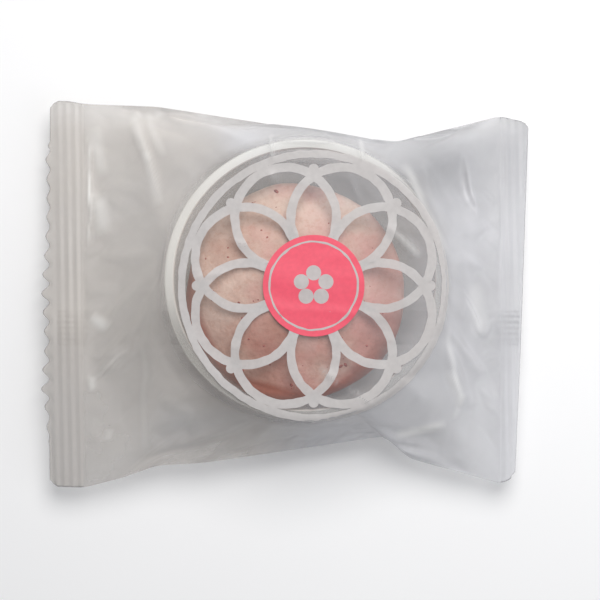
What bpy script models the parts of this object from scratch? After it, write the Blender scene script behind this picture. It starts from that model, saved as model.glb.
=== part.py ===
"""A marshmallow cookie sandwich in its sealed flow pack, lying on its back with the printed side up.

The pack is a tube of clear film drawn over a round tray. Both of its ends are pressed into crimped
seals, and the tube's own lengthwise seam is folded flat under the tray. The film can be seen through
but is sealed all round, so the pack is one closed solid: the film and all that it holds.

Metres, +Z up. X runs along the film tube and Y from the near fold to the far one. The origin is the
middle of the pack's bounding box, on the surface that the pack lies on.
"""

import math

import bmesh
import bpy
import numpy as np
from mathutils import Vector

MM = 0.001

# The round tray that the film is drawn over
TRAY_X = 4.2 * MM
TRAY_Y = 3.2 * MM
RIM_RADIUS = 31.8 * MM
RIM_WIDTH = 2.2 * MM
RIM_HEIGHT = 22.2 * MM
BASE_RADIUS = 27.5 * MM
BASE_HEIGHT = 0.2 * MM

# The film over the tray's mouth sags inside the rim and is lifted again by the sandwich's dome
MOUTH_SAG = 0.5 * MM
MOUTH_LIFT = 0.8 * MM

# The two end seals, from the line where the film opens to the cut edge
LEFT_SEAL = -46.8 * MM
LEFT_CUT = -54.9 * MM
RIGHT_SEAL = 49.6 * MM
RIGHT_CUT_FAR = 56.4 * MM
RIGHT_CUT_NEAR = 53.2 * MM
SEAL_THICKNESS = 0.6 * MM
TOOTH_DEPTH = 1.4 * MM
RIB_HEIGHT = 0.36 * MM

# The folds that close the tube's two sides, as (x, y): straight runs that meet in soft corners
FAR_FOLD = (
    (-57.0 * MM, 43.0 * MM),
    (-54.4 * MM, 44.7 * MM),
    (-51.0 * MM, 44.8 * MM),
    (-46.8 * MM, 44.0 * MM),
    (-30.0 * MM, 43.2 * MM),
    (23.8 * MM, 34.9 * MM),
    (49.6 * MM, 41.2 * MM),
    (57.0 * MM, 39.5 * MM),
)
NEAR_FOLD = (
    (-57.0 * MM, -42.4 * MM),
    (-54.6 * MM, -44.8 * MM),
    (-46.8 * MM, -45.0 * MM),
    (-38.0 * MM, -42.7 * MM),
    (-30.0 * MM, -39.8 * MM),
    (-19.0 * MM, -39.1 * MM),
    (23.2 * MM, -32.9 * MM),
    (28.2 * MM, -38.0 * MM),
    (50.2 * MM, -44.2 * MM),
    (54.0 * MM, -41.8 * MM),
)
CORNER_SOFTNESS = 1.6 * MM

# Height of the line where the top and bottom film meet, and how it waves along the end seals
FOLD_HEIGHT = 9.4 * MM
SEAL_HEIGHT = 7.6 * MM
SEAL_WAVE = 0.9 * MM

# Creases that the pull between rim, seals and folds draws into the top film:
# (x and y of one end, x and y of the other, half width, height)
CREASES = (
    (-39.0 * MM, 40.0 * MM, -24.0 * MM, 22.0 * MM, 3.6 * MM, 0.8 * MM),
    (-45.8 * MM, 34.0 * MM, -41.0 * MM, 15.0 * MM, 3.8 * MM, 0.7 * MM),
    (-45.8 * MM, -3.0 * MM, -33.0 * MM, -7.0 * MM, 3.6 * MM, 0.7 * MM),
    (-45.8 * MM, -24.0 * MM, -30.0 * MM, -10.0 * MM, 3.6 * MM, 0.7 * MM),
    (-40.0 * MM, -38.0 * MM, -24.0 * MM, -21.0 * MM, 4.0 * MM, 0.8 * MM),
    (28.0 * MM, 28.5 * MM, 43.0 * MM, 33.0 * MM, 4.0 * MM, -1.1 * MM),
    (37.5 * MM, 16.0 * MM, 47.0 * MM, -12.0 * MM, 3.6 * MM, 0.8 * MM),
    (36.0 * MM, -6.0 * MM, 42.0 * MM, -27.0 * MM, 3.6 * MM, 0.8 * MM),
    (25.0 * MM, -27.0 * MM, 43.0 * MM, -36.0 * MM, 4.0 * MM, -1.0 * MM),
)

# Puckers where the film opens out of the seals: how many lie along a seal, and how high they stand
PUCKERS = 9
PUCKER_HEIGHT = 0.35 * MM

# The lengthwise seam, folded flat under the tray
SEAM_Y = -8.0 * MM
SEAM_WIDTH = 8.0 * MM
SEAM_STEPS = 44

# One grid covers the pouch, with a ring of its lines on the tray's rim, and runs on into both seals
POUCH_CELLS = 40
RIM_RING = 0.4
RIM_BAND = 0.875
LEFT_COLUMNS = 9
RIGHT_COLUMNS = 7

FILM_COLOUR = (0.62, 0.61, 0.60, 1.0)


def clear_scene():
    for obj in list(bpy.data.objects):
        bpy.data.objects.remove(obj)


def new_collection(name):
    collection = bpy.data.collections.new(name)
    bpy.context.scene.collection.children.link(collection)
    return collection


def film_material():
    material = bpy.data.materials.new("matt clear film")
    material.use_nodes = True
    shader = material.node_tree.nodes["Principled BSDF"]
    shader.inputs["Base Color"].default_value = FILM_COLOUR
    shader.inputs["Roughness"].default_value = 0.38
    shader.inputs["Metallic"].default_value = 0.0
    return material


def lerp(a, b, t):
    return a + (b - a) * t


def smooth(t):
    t = min(max(t, 0.0), 1.0)
    return t * t * (3 - 2 * t)


def fold_y(fold, x):
    """Where a side fold lies at x: straight between its points, with its corners averaged round."""
    xs, ys = zip(*fold)
    near_x = x + CORNER_SOFTNESS * np.linspace(-1, 1, 5)
    return float(np.interp(near_x, xs, ys).mean())


def across(x, v):
    """y at x for v from -1, on the near fold, to 1, on the far fold."""
    return lerp(fold_y(NEAR_FOLD, x), fold_y(FAR_FOLD, x), (v + 1) / 2)


def seal_z(v):
    """Height of an end seal, which the stiffer film of the seam and the folds makes wavy."""
    return SEAL_HEIGHT + SEAL_WAVE * math.cos(2.6 * v + 0.7) * (1 - 0.4 * v * v)


def edge_z(u, v):
    """Height of the pouch's edge at a point of the unit square's border."""
    middle = 1 - u * u
    return lerp(seal_z(v), FOLD_HEIGHT, smooth(middle))


def edge_point(u, v):
    """The pouch's edge in plan, for a point of the unit square's border."""
    x = lerp(LEFT_SEAL, RIGHT_SEAL, (u + 1) / 2)
    return x, across(x, v)


def border_angle(u, v):
    """Angle round the tray for a point of the unit square's border, 45 degrees at a corner."""
    if abs(u) >= abs(v):
        return math.pi / 4 * v / u + (math.pi if u < 0 else 0.0)
    return math.pi / 2 - math.pi / 4 * u / v + (math.pi if v < 0 else 0.0)


def crease_height(x, y):
    """Height that the creases add at x, y."""
    total = 0.0
    for x0, y0, x1, y1, half_width, height in CREASES:
        run_x, run_y = x1 - x0, y1 - y0
        along = ((x - x0) * run_x + (y - y0) * run_y) / (run_x**2 + run_y**2)
        nearest = min(max(along, 0.0), 1.0)
        distance = math.hypot(x - x0 - run_x * nearest, y - y0 - run_y * nearest)
        total += height * (1 - smooth(distance / half_width))
    return total


def pouch_point(u, v, radius, disc_z, slope):
    """A point of the top or bottom film: inside the ring on a disc, outside it drawn to the edge."""
    ring = max(abs(u), abs(v))
    if ring < 1e-9:
        return TRAY_X, TRAY_Y, disc_z(0.0)
    edge_u, edge_v = u / ring, v / ring
    angle = border_angle(edge_u, edge_v)
    if ring <= RIM_RING:
        share = ring / RIM_RING
        if share < RIM_BAND:
            r = (radius - RIM_WIDTH) * share / RIM_BAND
        else:
            r = lerp(radius - RIM_WIDTH, radius, (share - RIM_BAND) / (1 - RIM_BAND))
        return TRAY_X + r * math.cos(angle), TRAY_Y + r * math.sin(angle), disc_z(r)
    away = (ring - RIM_RING) / (1 - RIM_RING)
    edge_x, edge_y = edge_point(edge_u, edge_v)
    x = lerp(TRAY_X + radius * math.cos(angle), edge_x, away)
    y = lerp(TRAY_Y + radius * math.sin(angle), edge_y, away)
    z = lerp(disc_z(radius), edge_z(edge_u, edge_v), away**slope)
    return x, y, z


def mouth_z(r):
    """Height of the film over the tray: level on the rim, slack inside it, lifted in the middle."""
    inner = RIM_RADIUS - RIM_WIDTH
    if r >= inner:
        return RIM_HEIGHT
    share = r / inner
    return RIM_HEIGHT - MOUTH_SAG * smooth((1 - share) * 6) + MOUTH_LIFT * smooth(1 - share)


def base_z(_):
    return BASE_HEIGHT


def pucker_height(u, v):
    """Height of the puckers beside the end seals, dying out towards the tray and the folds."""
    ring = max(abs(u), abs(v))
    if ring <= RIM_RING or abs(u) < 0.6:
        return 0.0
    beside = smooth((abs(u) - 0.6) * 4) * smooth((1 - abs(u)) * 12)
    within = smooth((1 - abs(v)) * 6)
    return PUCKER_HEIGHT * beside * within * math.cos(math.pi * PUCKERS * v + 2 * u)


def top_film(u, v):
    """The top film as it would hang without creases."""
    x, y, z = pouch_point(u, v, RIM_RADIUS, mouth_z, 0.92)
    return Vector((x, y, z + SEAL_THICKNESS / 2))


def top_point(u, v):
    """The top film, with its creases and puckers raised square to it."""
    here = top_film(u, v)
    ring = max(abs(u), abs(v))
    if ring <= RIM_RING or ring >= 1:
        return here
    free = smooth((ring - RIM_RING) * 5) * smooth((1 - ring) * 7)
    height = free * crease_height(here.x, here.y) + pucker_height(u, v)
    step = 0.001
    out = (top_film(u + step, v) - here).cross(top_film(u, v + step) - here)
    return here + height * out.normalized()


def bottom_point(u, v):
    x, y, z = pouch_point(u, v, BASE_RADIUS, base_z, 1.15)
    ring = max(abs(u), abs(v))
    z -= SEAL_THICKNESS / 2 * smooth((ring - RIM_RING) / (1 - RIM_RING))
    return Vector((x, y, z + pucker_height(u, v) / 2))


def seal_point(share, v, left, side):
    """A point of a crimped end seal: share runs from the pouch to the cut, side is 1 on top."""
    if left:
        x = lerp(LEFT_SEAL, LEFT_CUT, share)
    else:
        x = lerp(RIGHT_SEAL, lerp(RIGHT_CUT_NEAR, RIGHT_CUT_FAR, (v + 1) / 2), share)
    droop = -1.2 * MM * share * share
    return x, across(x, v), seal_z(v) + droop + side * SEAL_THICKNESS / 2


def film_point(column, row, side):
    """A point of the film's grid. Columns run from the left cut to the right one, rows near to far."""
    v = 2 * row / POUCH_CELLS - 1
    last = LEFT_COLUMNS + POUCH_CELLS + RIGHT_COLUMNS
    if LEFT_COLUMNS <= column <= LEFT_COLUMNS + POUCH_CELLS:
        u = 2 * (column - LEFT_COLUMNS) / POUCH_CELLS - 1
        return top_point(u, v) if side > 0 else bottom_point(u, v)
    left = column < LEFT_COLUMNS
    if left:
        share = (LEFT_COLUMNS - column) / LEFT_COLUMNS
    else:
        share = (column - LEFT_COLUMNS - POUCH_CELLS) / RIGHT_COLUMNS
    x, y, z = seal_point(share, v, left, side)
    z += RIB_HEIGHT * (column % 2 - 0.5)
    if column == 0 and row % 2 and 1 < row < POUCH_CELLS - 1:
        x -= TOOTH_DEPTH
    if column in (0, last) and row in (0, POUCH_CELLS):
        x += 0.8 * MM if left else -0.8 * MM
    return x, y, z


def split_quads(mesh, faces, middle):
    """Splits the grid's quads along the lines from the tray to the corners, where the film bends."""
    rising, falling = [], []
    for face in faces:
        centre = face.calc_center_median()
        (rising if (centre.x - middle) * centre.y > 0 else falling).append(face)
    bmesh.ops.triangulate(mesh, faces=rising, quad_method="FIXED")
    bmesh.ops.triangulate(mesh, faces=falling, quad_method="ALTERNATE")


def film_skin(mesh, side):
    """Adds one side of the film to the mesh: a grid whose points are moved to the film's."""
    columns = LEFT_COLUMNS + POUCH_CELLS + RIGHT_COLUMNS
    made = bmesh.ops.create_grid(
        mesh, x_segments=columns, y_segments=POUCH_CELLS, size=1.0
    )["verts"]
    faces = {face for vertex in made for face in vertex.link_faces}
    split_quads(mesh, faces, (2 * LEFT_COLUMNS + POUCH_CELLS) / columns - 1)
    for vertex in made:
        column = round((vertex.co.x + 1) / 2 * columns)
        row = round((vertex.co.y + 1) / 2 * POUCH_CELLS)
        vertex.co = film_point(column, row, side)
    if side < 0:
        faces = {face for vertex in made for face in vertex.link_faces}
        bmesh.ops.reverse_faces(mesh, faces=list(faces))


def make_film(collection, material):
    """The pouch with its end seals: a top and a bottom skin, bridged round the whole outline."""
    mesh = bmesh.new()
    film_skin(mesh, 1)
    film_skin(mesh, -1)
    border = [edge for edge in mesh.edges if edge.is_boundary]
    bmesh.ops.bridge_loops(mesh, edges=border)
    bmesh.ops.recalc_face_normals(mesh, faces=mesh.faces)
    return finish_object(mesh, "flow_pack", collection, material)


def make_seam(collection):
    """The lengthwise seam: a thin strip that follows the underside from one cut edge to the other."""
    mesh = bmesh.new()
    bmesh.ops.create_cube(mesh, size=1.0)
    lengthwise = [e for e in mesh.edges if abs(e.verts[0].co.x - e.verts[1].co.x) > 0.5]
    bmesh.ops.subdivide_edges(mesh, edges=lengthwise, cuts=SEAM_STEPS - 1, use_grid_fill=True)
    start, end = LEFT_CUT + 0.4 * MM, RIGHT_CUT_NEAR + 0.6 * MM
    for vertex in mesh.verts:
        x = lerp(start, end, vertex.co.x + 0.5)
        y = SEAM_Y + SEAM_WIDTH * vertex.co.y
        low = underside_z(x) - BASE_HEIGHT
        z = low if vertex.co.z < 0 else low + BASE_HEIGHT + SEAL_THICKNESS / 3
        vertex.co = (x, y, z)
    return finish_object(mesh, "lengthwise_seam", collection, None)


def underside_z(x):
    """Height of the film's underside on the line y = SEAM_Y."""
    if x <= LEFT_SEAL or x >= RIGHT_SEAL:
        left = x <= LEFT_SEAL
        seal, cut = (LEFT_SEAL, LEFT_CUT) if left else (RIGHT_SEAL, RIGHT_CUT_NEAR)
        v = SEAM_Y / fold_y(FAR_FOLD, x)
        z = seal_point((x - seal) / (cut - seal), v, left, -1)[2]
        return z - RIB_HEIGHT / 2
    return underside_in_pouch(x)


def underside_in_pouch(x):
    """Follows the bottom film outward from the tray's base, along the grid line nearest to the seam."""
    half_base = math.sqrt(BASE_RADIUS**2 - (SEAM_Y - TRAY_Y) ** 2)
    away = abs(x - TRAY_X)
    if away <= half_base:
        return BASE_HEIGHT
    u = -1.0 if x < TRAY_X else 1.0
    seal = LEFT_SEAL if x < TRAY_X else RIGHT_SEAL
    v = (SEAM_Y - across(seal, 0.0)) / (across(seal, 1.0) - across(seal, 0.0))
    reach = (away - half_base) / (abs(seal - TRAY_X) - half_base)
    drop = SEAL_THICKNESS / 2 * smooth(reach)
    return lerp(BASE_HEIGHT, edge_z(u, v), reach**1.15) - drop


def finish_object(mesh, name, collection, material):
    data = bpy.data.meshes.new(name)
    mesh.to_mesh(data)
    mesh.free()
    if material:
        data.materials.append(material)
    obj = bpy.data.objects.new(name, data)
    collection.objects.link(obj)
    return obj


def fuse_seam(pack, seam):
    """Welds the seam to the pack, as the film is all one piece."""
    join = pack.modifiers.new("seam", "BOOLEAN")
    join.operation = "UNION"
    join.solver = "EXACT"
    join.object = seam
    seam.hide_render = True
    seam.display_type = "WIRE"


def shade(obj):
    obj.data.shade_smooth()
    obj.data.set_sharp_from_angle(angle=math.radians(35))


def build():
    clear_scene()
    parts = new_collection("wrapped marshmallow cookie sandwich")
    helpers = new_collection("helpers")
    pack = make_film(parts, film_material())
    shade(pack)
    fuse_seam(pack, make_seam(helpers))


build()
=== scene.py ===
"""A marshmallow cookie sandwich in its clear tray, sealed in a matt film flow pack, printed side up."""

import math
import random

import bmesh
import bpy
import numpy as np
from mathutils import Matrix, Vector, noise


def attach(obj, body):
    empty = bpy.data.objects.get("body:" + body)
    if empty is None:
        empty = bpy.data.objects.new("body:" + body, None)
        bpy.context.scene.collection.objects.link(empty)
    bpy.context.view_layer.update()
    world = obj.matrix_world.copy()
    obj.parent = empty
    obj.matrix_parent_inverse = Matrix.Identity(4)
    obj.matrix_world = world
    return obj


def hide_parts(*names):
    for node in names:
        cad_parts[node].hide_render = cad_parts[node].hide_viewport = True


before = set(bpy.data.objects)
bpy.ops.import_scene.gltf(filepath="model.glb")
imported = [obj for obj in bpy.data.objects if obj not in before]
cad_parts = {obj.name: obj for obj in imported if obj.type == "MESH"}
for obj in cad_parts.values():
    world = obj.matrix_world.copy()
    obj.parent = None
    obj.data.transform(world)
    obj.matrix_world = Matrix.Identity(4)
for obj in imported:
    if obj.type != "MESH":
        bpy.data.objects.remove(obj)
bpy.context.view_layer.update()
MM = 0.001
PACK = "flow_pack"
BODY = "root"


# The tray: one thin sheet of clear plastic drawn over a mould, with a flat flange round its mouth.
# It lies loose in the film, which is pulled over it, and its base stands on the film's underside.
TRAY_CENTRE = Vector((4.2 * MM, 3.2 * MM, 0.0))
FLANGE_RADIUS = 31.5 * MM
MOUTH_RADIUS = 29.4 * MM
TRAY_TOP = 22.0 * MM
FOOT_RADIUS = 26.7 * MM
TRAY_FOOT = 0.6 * MM
FOOT_STEP = 0.3 * MM
FLANGE_LIP = 0.8 * MM
TRAY_WALL = 0.35 * MM
CLEAR_SHADE = (0.50, 0.49, 0.45, 1)
# The whitest tray colour, for the bends and for the painted highlight on the flange's far side.
WHITE_BEND_AND_HIGHLIGHT_SHADE = (0.83, 0.82, 0.78, 1)


def added(mesh, name):
    """A plain object at the origin, made of a bmesh that is used up."""
    data = bpy.data.meshes.new(name)
    mesh.to_mesh(data)
    mesh.free()
    thing = bpy.data.objects.new(name, data)
    bpy.context.scene.collection.objects.link(thing)
    return thing


def finished(mesh, name, material):
    """A piece of the pack: it rides on the pack's only body and stands for its solid."""
    bmesh.ops.recalc_face_normals(mesh, faces=mesh.faces)
    piece = added(mesh, name)
    piece.data.materials.append(material)
    piece.data.shade_smooth()
    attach(piece, BODY)
    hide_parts(PACK)
    return piece


def turned(profile, centre, steps):
    """A bmesh turned from a profile of (radius, height) points round an upright axis through centre."""
    mesh = bmesh.new()
    points = [mesh.verts.new((r, 0.0, z)) for r, z in profile]
    edges = [mesh.edges.new(pair) for pair in zip(points, points[1:])]
    bmesh.ops.spin(
        mesh, geom=points + edges, cent=(0, 0, 0), axis=(0, 0, 1),
        angle=math.tau, steps=steps, use_merge=True,
    )
    bmesh.ops.remove_doubles(mesh, verts=mesh.verts, dist=1e-6)
    bmesh.ops.translate(mesh, verts=mesh.verts, vec=centre)
    return mesh


def principled(name, **inputs):
    """A new material, its node tree and its shader, with the shader's sockets set by name."""
    material = bpy.data.materials.new(name)
    material.use_nodes = True
    tree = material.node_tree
    shader = tree.nodes["Principled BSDF"]
    for socket, value in inputs.items():
        shader.inputs[socket.replace("_", " ")].default_value = value
    return material, tree, shader


def add_node(tree, kind, settings=(), **inputs):
    """A node with its settings and its inputs, each an unlinked value or another node's output."""
    node = tree.nodes.new(kind)
    for key, value in dict(settings).items():
        setattr(node, key, value)
    for name, value in inputs.items():
        socket = node.inputs[int(name[1:]) if name[1:].isdigit() else name.replace("_", " ")]
        if isinstance(value, bpy.types.NodeSocket):
            tree.links.new(value, socket)
        else:
            socket.default_value = value
    return node


def shades(tree, factor, *stops):
    """A colour socket that runs through (position, colour) stops, or (position, grey), as factor grows."""
    ramp = add_node(tree, "ShaderNodeValToRGB", Fac=factor)
    elements = ramp.color_ramp.elements
    elements.remove(elements[1])
    for index, (position, colour) in enumerate(stops):
        element = elements.new(position) if index else elements[0]
        element.position = position
        element.color = colour if isinstance(colour, tuple) else (colour, colour, colour, 1)
    return ramp.outputs["Color"]


def worked(tree, operation, *values):
    """A maths node's result, from values or other nodes' outputs."""
    inputs = {f"_{index}": value for index, value in enumerate(values)}
    return add_node(tree, "ShaderNodeMath", {"operation": operation}, **inputs).outputs[0]


def ranged(tree, value, low, high, to_low=0.0, to_high=1.0, way="LINEAR"):
    """A value carried over from one range to another, and held at its ends."""
    return add_node(
        tree, "ShaderNodeMapRange", {"interpolation_type": way},
        Value=value, From_Min=low, From_Max=high, To_Min=to_low, To_Max=to_high,
    ).outputs[0]


def own_place(tree):
    """Each point's place in the piece's own coordinates."""
    return add_node(tree, "ShaderNodeTexCoord").outputs["Object"]


def from_axis(tree, centre):
    """Each point's level offset from an upright axis through centre, and its distance from it."""
    offset = add_node(tree, "ShaderNodeVectorMath", {"operation": "SUBTRACT"}, _0=own_place(tree), _1=centre)
    level = add_node(
        tree, "ShaderNodeVectorMath", {"operation": "MULTIPLY"}, _0=offset.outputs[0], _1=(1, 1, 0),
    )
    reach = add_node(tree, "ShaderNodeVectorMath", {"operation": "LENGTH"}, _0=level.outputs[0])
    return level.outputs[0], reach.outputs["Value"]


def leaning(tree, offset, way):
    """How far an offset goes a given way: their dot product."""
    return add_node(
        tree, "ShaderNodeVectorMath", {"operation": "DOT_PRODUCT"}, _0=offset, _1=way,
    ).outputs["Value"]


def tray_plastic():
    """Clear plastic, whiter at the flange and its two bends, and most of all on the flange's far side, where
    a highlight is painted into its colour and cover.
    """
    material, tree, shader = principled("clear tray plastic", Roughness=0.28, IOR=1.7)
    offset, reach = from_axis(tree, TRAY_CENTRE)
    flange = ranged(tree, reach, MOUTH_RADIUS - 0.2 * MM, FLANGE_RADIUS)
    bent = shades(tree, flange, (0.0, 0.17), (0.12, 0.58), (0.26, 0.30), (0.82, 0.30), (0.94, 0.55))
    # A painted highlight: the flange is made whiter and more opaque towards its far side, where the lamp
    # would catch it.
    far_side = leaning(tree, offset, (-0.50 / FLANGE_RADIUS, 0.87 / FLANGE_RADIUS, 0.0))
    lit = ranged(tree, far_side, 0.0, 0.75, way="SMOOTHSTEP")
    painted_highlight = shades(tree, flange, (0.0, 0.0), (0.14, 0.6), (0.86, 0.6), (1.0, 0.2))
    cover = worked(tree, "MULTIPLY_ADD", painted_highlight, lit, bent)
    colour = shades(tree, cover, (0.17, CLEAR_SHADE), (0.60, WHITE_BEND_AND_HIGHLIGHT_SHADE))
    tree.links.new(colour, shader.inputs["Base Color"])
    tree.links.new(cover, shader.inputs["Alpha"])
    return material


def make_tray():
    """The tray's section, up its outside from the foot and down its inside, turned round its axis."""
    outside = [
        (0.0, TRAY_FOOT),
        (FOOT_RADIUS - 4.0 * MM, TRAY_FOOT),
        (FOOT_RADIUS - 3.2 * MM, TRAY_FOOT - FOOT_STEP),
        (FOOT_RADIUS - 1.0 * MM, TRAY_FOOT - FOOT_STEP),
        (FOOT_RADIUS, TRAY_FOOT + 0.7 * MM),
        (MOUTH_RADIUS - 0.3 * MM, TRAY_TOP - 1.2 * MM),
        (MOUTH_RADIUS + 0.3 * MM, TRAY_TOP - TRAY_WALL),
        (FLANGE_RADIUS - 0.3 * MM, TRAY_TOP - TRAY_WALL),
        (FLANGE_RADIUS - 0.25 * MM, TRAY_TOP - FLANGE_LIP),
        (FLANGE_RADIUS, TRAY_TOP - FLANGE_LIP),
    ]
    inside = [
        (FLANGE_RADIUS, TRAY_TOP - 0.42 * MM),
        (FLANGE_RADIUS - 0.05 * MM, TRAY_TOP - 0.24 * MM),
        (FLANGE_RADIUS - 0.16 * MM, TRAY_TOP - 0.10 * MM),
        (FLANGE_RADIUS - 0.32 * MM, TRAY_TOP - 0.02 * MM),
        (FLANGE_RADIUS - 0.50 * MM, TRAY_TOP),
        (MOUTH_RADIUS + 0.2 * MM, TRAY_TOP),
        (MOUTH_RADIUS - 0.3 * MM - TRAY_WALL / 2, TRAY_TOP - 0.9 * MM),
        (FOOT_RADIUS - TRAY_WALL, TRAY_FOOT + 0.9 * MM),
        (FOOT_RADIUS - 1.1 * MM, TRAY_FOOT - FOOT_STEP + TRAY_WALL),
        (FOOT_RADIUS - 3.1 * MM, TRAY_FOOT - FOOT_STEP + TRAY_WALL),
        (FOOT_RADIUS - 3.9 * MM, TRAY_FOOT + TRAY_WALL),
        (0.0, TRAY_FOOT + TRAY_WALL),
    ]
    tray = finished(turned(outside + inside, TRAY_CENTRE, steps=144), "clear_tray", tray_plastic())
    tray.data.set_sharp_from_angle(angle=math.radians(40))


make_tray()


# The lower cookie: a round of soft baked dough, flat underneath where it lay on the baking sheet.
# Its edge is browner than its face, and darker on its near side, a painted shade. It slid a little off the
# tray's middle as the pack was filled.
LOWER_CENTRE = Vector((2.6 * MM, 1.3 * MM, 1.1 * MM))
LOWER_RADIUS = 23.6 * MM
LOWER_THICK = 6.0 * MM
LOWER_DOME = 0.6 * MM
LOWER_CORNER = 1.8 * MM
CORNER_STEPS = 12
DENT_SCALE = 110
GRAIN_SCALE = 420

# The upper cookie's middle and size: both doughs brown and blush by how far they are from it.
UPPER_RADIUS = 24.8 * MM
UPPER_CENTRE = Vector((2.0 * MM, 0.0 * MM, 12.4 * MM))


def roughen(mesh, centre, unevenness, crumb, seed):
    """Moves a turned cake's points in and out: an uneven round, soft dents, and baked crumb."""
    shift = Vector((seed * 3.1, seed * 7.7, seed * 1.3))
    mesh.normal_update()
    moves = []
    for vertex in mesh.verts:
        local = vertex.co - centre
        around = Vector((local.x, local.y, 0.0)).normalized() if local.xy.length > 1e-6 else Vector()
        broad = noise.noise(around * 1.3 + shift)
        dents = noise.noise(local * DENT_SCALE + shift)
        grain = noise.fractal(local * GRAIN_SCALE + shift, 0.7, 2.1, 4)
        edge = min(local.xy.length / LOWER_RADIUS, 1.0)
        lift = dents * 3.5 + grain * 0.6
        moves.append(around * broad * unevenness * edge + vertex.normal * lift * crumb)
    for vertex, move in zip(mesh.verts, moves):
        vertex.co += move


def cake_profile(radius, thick, dome, corner, across=46):
    """Half a cake's section from its underside's middle to its top's: flat below, domed above."""
    points = [(radius * i / across, 0.0) for i in range(int(across * (1 - corner / radius)))]
    edge = thick - dome
    for i in range(CORNER_STEPS + 1):
        angle = -math.pi / 2 + math.pi / 2 * i / CORNER_STEPS
        points.append((radius - corner + corner * math.cos(angle), corner + corner * math.sin(angle)))
    top_corner = min(corner * 1.2, edge - corner)
    for i in range(CORNER_STEPS + 1):
        angle = math.pi / 2 * i / CORNER_STEPS
        points.append((
            radius - top_corner + top_corner * math.cos(angle),
            edge - top_corner + top_corner * math.sin(angle),
        ))
    inner = radius - top_corner
    for i in range(1, across + 1):
        share = 1 - i / across
        points.append((inner * share, edge + dome * (1 - share**2.2)))
    return points


def clouds(tree, place, scale, detail, roughness=0.5):
    """Soft random patches, as a value that drifts about 0.5."""
    return add_node(
        tree, "ShaderNodeTexNoise", Vector=place, Scale=scale, Detail=detail, Roughness=roughness,
    ).outputs["Fac"]


def mixed(tree, factor, first, second, blend="MIX"):
    """Two colours, mixed or blended by a factor."""
    return add_node(
        tree, "ShaderNodeMix", {"data_type": "RGBA", "blend_type": blend}, _0=factor, _6=first, _7=second,
    ).outputs[2]


def bumped(tree, shader, height, distance, strength):
    """Roughens a shader's surface by a height that changes over it."""
    lift = add_node(tree, "ShaderNodeBump", Height=height, Distance=distance, Strength=strength)
    tree.links.new(lift.outputs["Normal"], shader.inputs["Normal"])


def crumb_group():
    """Shades of a baked surface: broad toasted patches, fine crumb, and its bump height."""
    group = bpy.data.node_groups.new("baked crumb", "ShaderNodeTree")
    for name, value in (("Crumb Scale", 900.0), ("Patch Scale", 60.0)):
        socket = group.interface.new_socket(name, in_out="INPUT", socket_type="NodeSocketFloat")
        socket.default_value = value
    for name in ("Patches", "Crumb", "Height"):
        group.interface.new_socket(name, in_out="OUTPUT", socket_type="NodeSocketFloat")
    given = group.nodes.new("NodeGroupInput").outputs
    result = group.nodes.new("NodeGroupOutput").inputs
    place = own_place(group)
    patches = clouds(group, place, given["Patch Scale"], 3.0, 0.55)
    crumb = clouds(group, place, given["Crumb Scale"], 4.0, 0.7)
    pits = add_node(
        group, "ShaderNodeTexVoronoi", Vector=place, Scale=given["Crumb Scale"],
    ).outputs["Distance"]
    group.links.new(patches, result["Patches"])
    group.links.new(crumb, result["Crumb"])
    group.links.new(worked(group, "ADD", crumb, pits), result["Height"])
    return group


baked_crumb = crumb_group()


def baked(name, dark, light, blush, crumb_dark, bump, painted_shade=0.0):
    """Matt baked dough with a brown rim, pinker on its right, and a painted shade that darkens it towards
    its near side and deepens its rim there.
    """
    material, tree, shader = principled(name, Roughness=0.62, IOR=1.42)
    crumb = add_node(tree, "ShaderNodeGroup", {"node_tree": baked_crumb})
    other = add_node(tree, "ShaderNodeGroup", {"node_tree": baked_crumb}, Patch_Scale=95.0)
    offset, reach = from_axis(tree, UPPER_CENTRE)
    far_side = leaning(tree, offset, (0.25 / UPPER_RADIUS, 1.0 / UPPER_RADIUS, 0.0))
    # A painted shade: the dough is made darker towards its near side.
    near_side = ranged(tree, far_side, -0.5, 0.2, 0.18 - painted_shade, 0.18 + 0.5 * painted_shade, "SMOOTHSTEP")
    lean = worked(tree, "MULTIPLY_ADD", crumb.outputs["Patches"], 0.65, near_side)
    rim = ranged(tree, reach, 0.84 * UPPER_RADIUS, UPPER_RADIUS, 0.0, -1.0)
    # The rim is browned all round; the extra darkness on its near side is a painted shade.
    rim_brown_and_shade = ranged(tree, far_side, -0.5, 0.2, 0.46, 0.02)
    browned_and_shaded = worked(tree, "MULTIPLY_ADD", rim, rim_brown_and_shade, lean)
    right = leaning(tree, offset, (0.25 / UPPER_RADIUS, -0.05 / UPPER_RADIUS, 0.0))
    pink = worked(tree, "ADD", other.outputs["Patches"], right)
    blushing = shades(tree, pink, (0.42, light), (0.72, blush))
    brown = shades(tree, browned_and_shaded, (0.22, 1.0), (0.60, 0.0))
    shade = mixed(tree, brown, blushing, dark)
    speckle = shades(tree, crumb.outputs["Crumb"], (0.36, crumb_dark), (0.52, 1.0))
    tree.links.new(mixed(tree, 1.0, shade, speckle, "MULTIPLY"), shader.inputs["Base Color"])
    bumped(tree, shader, crumb.outputs["Height"], bump, 0.8)
    return material


def make_lower_cookie():
    """A nearly flat cake of golden brown dough."""
    profile = cake_profile(LOWER_RADIUS, LOWER_THICK, LOWER_DOME, LOWER_CORNER)
    mesh = turned(profile, LOWER_CENTRE, steps=160)
    roughen(mesh, LOWER_CENTRE, unevenness=0.5 * MM, crumb=0.10 * MM, seed=2)
    dough = baked(
        "baked dough", dark=(0.42, 0.20, 0.10, 1), light=(0.62, 0.36, 0.20, 1),
        blush=(0.60, 0.33, 0.19, 1), crumb_dark=(0.72, 0.62, 0.55, 1), bump=0.3 * MM,
    )
    finished(mesh, "lower_cookie", dough)


make_lower_cookie()


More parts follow.
